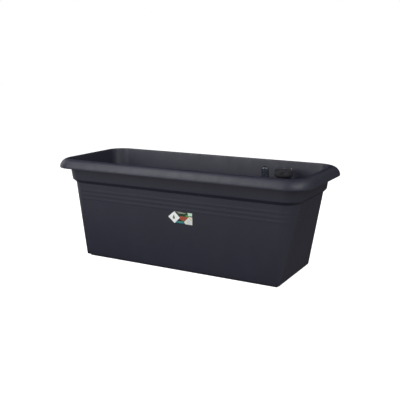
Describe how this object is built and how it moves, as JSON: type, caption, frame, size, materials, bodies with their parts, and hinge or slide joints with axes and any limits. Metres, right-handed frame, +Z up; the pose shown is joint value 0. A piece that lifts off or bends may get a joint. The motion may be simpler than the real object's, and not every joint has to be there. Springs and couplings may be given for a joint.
{
  "type": "self watering planter",
  "caption": "Rectangular trough planter with a rolled rim, a water reservoir under lift-out decks, a lidded filling tube and a float gauge.",
  "frame": {"origin": "middle of the footprint, on the surface the planter stands on", "axes": "+X along the planter's length, with the filler at the right; -Y out of the front wall, which carries the sticker; +Z up"},
  "size_m": [0.79, 0.328, 0.296],
  "materials": {
    "trough_plastic": "fine-grained satin, slate",
    "insert_plastic": "matte, black recycled plastic",
    "tube_plastic": "satin, dark grey",
    "plug_plastic": "satin, dark grey",
    "seal_rubber": "matte",
    "float_foam": "matte, closed-cell foam",
    "marker_red": "gloss",
    "clear_plastic": "gloss, clear",
    "steel": "drawn wire",
    "tag_paper": "coated, printed"
  },
  "bodies": {
    "trough": {"trough": "trough_plastic", "front_tag": "tag_paper"},
    "left_deck": {"left_deck": "insert_plastic", "left_leg_1": "insert_plastic", "left_leg_2": "insert_plastic", "left_leg_3": "insert_plastic", "left_leg_4": "insert_plastic", "left_soil_well_1": "insert_plastic", "left_soil_well_2": "insert_plastic"},
    "right_deck": {"right_deck": "insert_plastic", "right_leg_1": "insert_plastic", "right_leg_2": "insert_plastic", "right_leg_3": "insert_plastic", "right_leg_4": "insert_plastic", "right_soil_well_1": "insert_plastic", "right_soil_well_2": "insert_plastic", "fill_tube": "tube_plastic", "hinge_pin": "steel", "gauge_tube": "tube_plastic", "gauge_window": "clear_plastic"},
    "fill_lid": {"fill_lid": "tube_plastic"},
    "float": {"float": "float_foam", "gauge_rod": "steel", "gauge_marker": "marker_red"},
    "drain_plug": {"drain_plug": "plug_plastic", "drain_seal": "seal_rubber"},
    "overflow_left_plug": {"overflow_left_plug": "plug_plastic", "overflow_left_seal": "seal_rubber"},
    "overflow_right_plug": {"overflow_right_plug": "plug_plastic", "overflow_right_seal": "seal_rubber"}
  },
  "joints": [
    {"name": "left_deck_lift", "type": "slide", "parent": "trough", "child": "left_deck", "axis": [0, 0, 1], "range_m": [0, 0.33]},
    {"name": "right_deck_lift", "type": "slide", "parent": "trough", "child": "right_deck", "axis": [0, 0, 1], "range_m": [0, 0.33]},
    {"name": "fill_lid_hinge", "type": "hinge", "parent": "right_deck", "child": "fill_lid", "pos_m": [0.245, 0.1035, 0.2788], "axis": [-1, 0, 0], "range_deg": [0, 105]},
    {"name": "float_rise", "type": "slide", "parent": "right_deck", "child": "float", "axis": [0, 0, 1], "range_m": [0, 0.034]},
    {"name": "drain_plug_pull", "type": "slide", "parent": "trough", "child": "drain_plug", "axis": [0, 1, 0], "range_m": [0, 0.03]},
    {"name": "overflow_left_plug_pull", "type": "slide", "parent": "trough", "child": "overflow_left_plug", "axis": [0, 1, 0], "range_m": [0, 0.03]},
    {"name": "overflow_right_plug_pull", "type": "slide", "parent": "trough", "child": "overflow_right_plug", "axis": [0, 1, 0], "range_m": [0, 0.03]}
  ]
}
